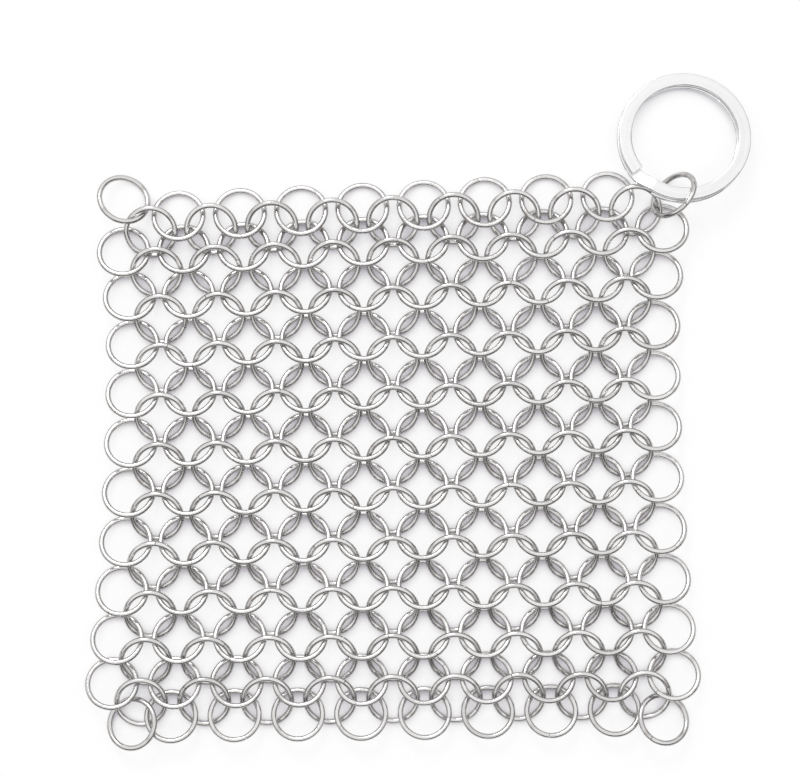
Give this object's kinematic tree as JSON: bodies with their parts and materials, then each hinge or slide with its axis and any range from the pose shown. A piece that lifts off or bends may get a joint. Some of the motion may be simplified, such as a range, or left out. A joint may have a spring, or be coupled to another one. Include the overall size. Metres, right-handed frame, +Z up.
{
  "type": "chainmail pot scrubber",
  "caption": "Square chainmail scrubber of linked round-wire steel rings, with a flat split ring on one corner link for hanging it up.",
  "frame": {"origin": "on the table under the middle of the whole piece", "axes": "+Z up from the table, +X along the rows, +Y towards the edge with the split ring"},
  "size_m": [0.1464, 0.1492, 0.01],
  "materials": {
    "link_steel": "bright drawn wire",
    "ring_steel": "polished"
  },
  "bodies": {
    "row_01": {"row_01": "link_steel"},
    "row_02": {"row_02": "link_steel"},
    "row_03": {"row_03": "link_steel"},
    "row_04": {"row_04": "link_steel"},
    "row_05": {"row_05": "link_steel"},
    "row_06": {"row_06": "link_steel"},
    "row_07": {"row_07": "link_steel"},
    "row_08": {"row_08": "link_steel"},
    "row_09": {"row_09": "link_steel"},
    "row_10": {"row_10": "link_steel"},
    "row_11": {"row_11": "link_steel"},
    "row_12": {"row_12": "link_steel"},
    "row_13": {"row_13": "link_steel"},
    "row_14": {"row_14": "link_steel"},
    "row_15": {"row_15": "link_steel"},
    "row_16": {"row_16": "link_steel"},
    "row_17": {"row_17": "link_steel"},
    "row_18": {"row_18": "link_steel"},
    "row_19": {"row_19": "link_steel"},
    "row_20": {"row_20": "link_steel"},
    "row_21": {"row_21": "link_steel"},
    "row_22": {"row_22": "link_steel"},
    "row_23": {"row_23": "link_steel"},
    "corner_link_top_left": {"corner_link_top_left": "link_steel"},
    "corner_link_top_right": {"corner_link_top_right": "link_steel"},
    "corner_link_bottom_left": {"corner_link_bottom_left": "link_steel"},
    "corner_link_bottom_right": {"corner_link_bottom_right": "link_steel"},
    "split_ring": {"split_ring": "ring_steel"}
  },
  "joints": [
    {"name": "row_01_fold", "type": "hinge", "parent": "row_02", "child": "row_01", "pos_m": [-0.00533, 0.04307, 0.00282], "axis": [-0.999, -0.0449, -0.0001], "range_deg": [-2, 50]},
    {"name": "row_02_fold", "type": "hinge", "parent": "row_03", "child": "row_02", "pos_m": [-0.00536, 0.03987, 0.00169], "axis": [0.999, 0.0438, -0.0002], "range_deg": [-1, 50]},
    {"name": "row_03_fold", "type": "hinge", "parent": "row_04", "child": "row_03", "pos_m": [-0.00535, 0.03508, 0.0035], "axis": [-0.9991, -0.0426, -0.0003], "range_deg": [-2, 50]},
    {"name": "row_04_fold", "type": "hinge", "parent": "row_05", "child": "row_04", "pos_m": [-0.00535, 0.0302, 0.00159], "axis": [0.9992, 0.0412, -0.0003], "range_deg": [-4, 50]},
    {"name": "row_05_fold", "type": "hinge", "parent": "row_06", "child": "row_05", "pos_m": [-0.00536, 0.02489, 0.00371], "axis": [-0.9992, -0.0397, -0.0003], "range_deg": [-2, 50]},
    {"name": "row_06_fold", "type": "hinge", "parent": "row_07", "child": "row_06", "pos_m": [-0.00536, 0.01955, 0.00155], "axis": [0.9993, 0.0382, -0.0003], "range_deg": [-4, 50]},
    {"name": "row_07_fold", "type": "hinge", "parent": "row_08", "child": "row_07", "pos_m": [-0.00535, 0.01408, 0.00377], "axis": [-0.9993, -0.0366, -0.0003], "range_deg": [-2, 50]},
    {"name": "row_08_fold", "type": "hinge", "parent": "row_09", "child": "row_08", "pos_m": [-0.00536, 0.00861, 0.00154], "axis": [0.9994, 0.0351, -0.0003], "range_deg": [-4, 50]},
    {"name": "row_09_fold", "type": "hinge", "parent": "row_10", "child": "row_09", "pos_m": [-0.00535, 0.0031, 0.00379], "axis": [-0.9994, -0.0335, -0.0003], "range_deg": [-2, 50]},
    {"name": "row_10_fold", "type": "hinge", "parent": "row_11", "child": "row_10", "pos_m": [-0.00535, -0.00242, 0.00153], "axis": [0.9995, 0.032, -0.0003], "range_deg": [-4, 50]},
    {"name": "row_11_fold", "type": "hinge", "parent": "row_12", "child": "row_11", "pos_m": [-0.00536, -0.00796, 0.00379], "axis": [-0.9995, -0.0304, -0.0003], "range_deg": [-2, 50]},
    {"name": "row_13_fold", "type": "hinge", "parent": "row_12", "child": "row_13", "pos_m": [-0.00535, -0.01347, 0.00154], "axis": [-0.9996, -0.0289, 0.0003], "range_deg": [-4, 50]},
    {"name": "row_14_fold", "type": "hinge", "parent": "row_13", "child": "row_14", "pos_m": [-0.00536, -0.01898, 0.00379], "axis": [0.9996, 0.0273, 0.0003], "range_deg": [-2, 50]},
    {"name": "row_15_fold", "type": "hinge", "parent": "row_14", "child": "row_15", "pos_m": [-0.00536, -0.0245, 0.00154], "axis": [-0.9997, -0.0258, 0.0003], "range_deg": [-4, 50]},
    {"name": "row_16_fold", "type": "hinge", "parent": "row_15", "child": "row_16", "pos_m": [-0.00535, -0.03001, 0.00379], "axis": [0.9997, 0.0242, 0.0003], "range_deg": [-2, 50]},
    {"name": "row_17_fold", "type": "hinge", "parent": "row_16", "child": "row_17", "pos_m": [-0.00536, -0.03552, 0.00154], "axis": [-0.9997, -0.0227, 0.0003], "range_deg": [-4, 50]},
    {"name": "row_18_fold", "type": "hinge", "parent": "row_17", "child": "row_18", "pos_m": [-0.00535, -0.04095, 0.00375], "axis": [0.9998, 0.0212, 0.0003], "range_deg": [-2, 50]},
    {"name": "row_19_fold", "type": "hinge", "parent": "row_18", "child": "row_19", "pos_m": [-0.00535, -0.04634, 0.00157], "axis": [-0.9998, -0.0196, 0.0003], "range_deg": [-4, 50]},
    {"name": "row_20_fold", "type": "hinge", "parent": "row_19", "child": "row_20", "pos_m": [-0.00536, -0.05152, 0.00364], "axis": [0.9998, 0.0182, 0.0003], "range_deg": [-2, 50]},
    {"name": "row_21_fold", "type": "hinge", "parent": "row_20", "child": "row_21", "pos_m": [-0.00535, -0.05664, 0.00162], "axis": [-0.9999, -0.0168, 0.0003], "range_deg": [-4, 50]},
    {"name": "row_22_fold", "type": "hinge", "parent": "row_21", "child": "row_22", "pos_m": [-0.00536, -0.06095, 0.00325], "axis": [0.9999, 0.0155, 0.0002], "range_deg": [-2, 40]},
    {"name": "row_23_fold", "type": "hinge", "parent": "row_22", "child": "row_23", "pos_m": [-0.00535, -0.06517, 0.00177], "axis": [-0.9999, -0.0144, 0.0001], "range_deg": [-3, 40]},
    {"name": "corner_link_top_left_swing", "type": "hinge", "parent": "row_02", "child": "corner_link_top_left", "pos_m": [-0.06149, 0.04309, 0.0037], "axis": [-0.8975, 0.4114, 0.1586], "range_deg": [0, 30]},
    {"name": "corner_link_top_right_swing", "type": "hinge", "parent": "row_02", "child": "corner_link_top_right", "pos_m": [0.05267, 0.04557, 0.00279], "axis": [0.7194, 0.6588, 0.2203], "range_deg": [0, 12]},
    {"name": "corner_link_bottom_left_swing", "type": "hinge", "parent": "row_23", "child": "corner_link_bottom_left", "pos_m": [-0.06236, -0.06534, 0.00201], "axis": [-0.8501, -0.4982, -0.1708], "range_deg": [0, 15]},
    {"name": "corner_link_bottom_right_swing", "type": "hinge", "parent": "row_23", "child": "corner_link_bottom_right", "pos_m": [0.05253, -0.0638, 0.00195], "axis": [-0.9234, 0.3605, 0.1316], "range_deg": [0, 20]},
    {"name": "split_ring_swing", "type": "hinge", "parent": "corner_link_top_right", "child": "split_ring", "pos_m": [0.05615, 0.04744, 0.005], "axis": [1, 0, 0], "range_deg": [0, 80]}
  ]
}
